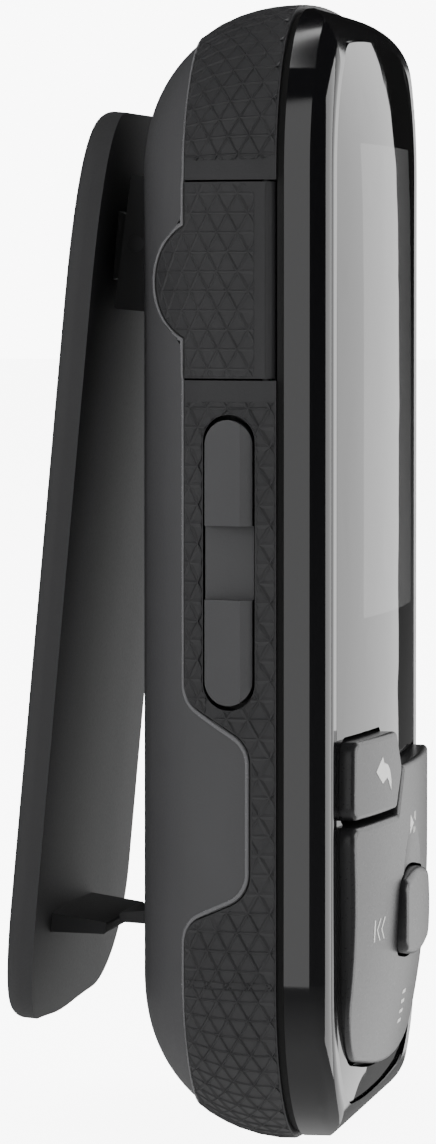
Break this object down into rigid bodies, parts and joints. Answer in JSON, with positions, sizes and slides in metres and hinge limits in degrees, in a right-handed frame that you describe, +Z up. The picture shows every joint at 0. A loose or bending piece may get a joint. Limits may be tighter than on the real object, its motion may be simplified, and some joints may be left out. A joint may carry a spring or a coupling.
{
  "type": "digital audio player",
  "caption": "Pocket digital audio player with a domed front lens, raised control pad, textured grip band, side keys, covered port and a sprung rear belt clip.",
  "frame": {"origin": "on the ground plane under the foot of the body, at the middle of the overall width and depth", "axes": "+X to the user's right when facing the screen, +Y from the screen towards the clip, +Z up along the body"},
  "size_m": [0.0408, 0.0238, 0.0678],
  "materials": {
    "shell_plastic": "fine matt moulded texture",
    "grip_rubber": "matt with raised triangles",
    "gasket_rubber": "soft matt",
    "bezel_gloss": "polished",
    "lens_clear": "hard-coated clear with a black printed border",
    "adhesive": "foam tape",
    "lcd_glass": "dark grey polariser",
    "white_frame": "moulded",
    "flex_amber": "satin film",
    "board_green": "solder mask",
    "chip_black": "moulded epoxy",
    "tin_shield": "tin plated",
    "ceramic": "fired",
    "zinc_steel": "zinc plated",
    "cell_foil": "embossed foil pouch",
    "foam_black": "open cell foam",
    "nickel": "nickel strip",
    "socket_black": "moulded",
    "dome_film": "clear film with steel domes",
    "silicone": "translucent silicone",
    "key_plastic": "satin, silk-screened",
    "spring_steel": "blued spring steel",
    "pin_steel": "black oxide",
    "clip_plastic": "fine matt moulded texture"
  },
  "bodies": {
    "housing": {"rear_shell": "shell_plastic", "grip_band": "grip_rubber", "housing_gasket": "gasket_rubber", "front_bezel": "bezel_gloss", "display_lens": "lens_clear", "lens_gasket": "adhesive", "lcd_panel": "lcd_glass", "lcd_frame": "white_frame", "lcd_flex": "flex_amber", "main_board": "board_green", "processor_chip": "chip_black", "memory_chip": "chip_black", "shield_can": "tin_shield", "radio_antenna": "ceramic", "board_screws": "zinc_steel", "battery_cell": "cell_foil", "battery_pad": "foam_black", "battery_tabs": "nickel", "usb_socket": "tin_shield", "headphone_socket": "socket_black", "dome_sheet": "dome_film", "key_mat": "silicone", "side_switches": "socket_black", "rocker_pin": "pin_steel", "cover_pin": "pin_steel", "clip_bracket": "clip_plastic", "clip_pin": "pin_steel", "clip_spring": "spring_steel"},
    "clip": {"clip_arm": "clip_plastic"},
    "port_cover": {"port_cover": "grip_rubber"},
    "volume_rocker": {"volume_rocker": "shell_plastic", "rocker_plungers": "socket_black"},
    "power_key": {"power_key": "shell_plastic", "power_plunger": "socket_black"},
    "pad_spreader": {"pad_spreader": "spring_steel"},
    "nav_pad": {"nav_pad": "key_plastic"},
    "select_key": {"select_key": "key_plastic"},
    "back_key": {"back_key": "key_plastic"}
  },
  "joints": [
    {"name": "clip_hinge", "type": "hinge", "parent": "housing", "child": "clip", "pos_m": [0, 0.00445, 0.0535], "axis": [1, 0, 0], "range_deg": [0, 10], "stiffness_Nm_per_rad": 0.03, "springref_deg": -28.65, "deforming": ["clip_spring"]},
    {"name": "port_cover_hinge", "type": "hinge", "parent": "housing", "child": "port_cover", "pos_m": [-0.01942, -0.00535, 0.0513], "axis": [0, 0, 1], "range_deg": [0, 100]},
    {"name": "volume_rocker_tilt", "type": "hinge", "parent": "housing", "child": "volume_rocker", "pos_m": [-0.018, -0.00315, 0.0349], "axis": [0, 1, 0], "range_deg": [-2.2, 2.2], "stiffness_Nm_per_rad": 0.0003},
    {"name": "power_press", "type": "slide", "parent": "housing", "child": "power_key", "axis": [-1, 0, 0], "range_m": [0, 0.0003], "stiffness_N_per_m": 25},
    {"name": "pad_tilt_up_down", "type": "hinge", "parent": "housing", "child": "pad_spreader", "pos_m": [0, -0.007, 0.013], "axis": [1, 0, 0], "range_deg": [-1.5, 1.5], "stiffness_Nm_per_rad": 0.01},
    {"name": "pad_tilt_left_right", "type": "hinge", "parent": "pad_spreader", "child": "nav_pad", "pos_m": [0, -0.007, 0.013], "axis": [0, 0, 1], "range_deg": [-1.5, 1.5], "stiffness_Nm_per_rad": 0.01},
    {"name": "select_press", "type": "slide", "parent": "housing", "child": "select_key", "axis": [0, 1, 0], "range_m": [0, 0.00035], "stiffness_N_per_m": 30},
    {"name": "back_press", "type": "slide", "parent": "housing", "child": "back_key", "axis": [0, 1, 0], "range_m": [0, 0.00035], "stiffness_N_per_m": 30}
  ]
}
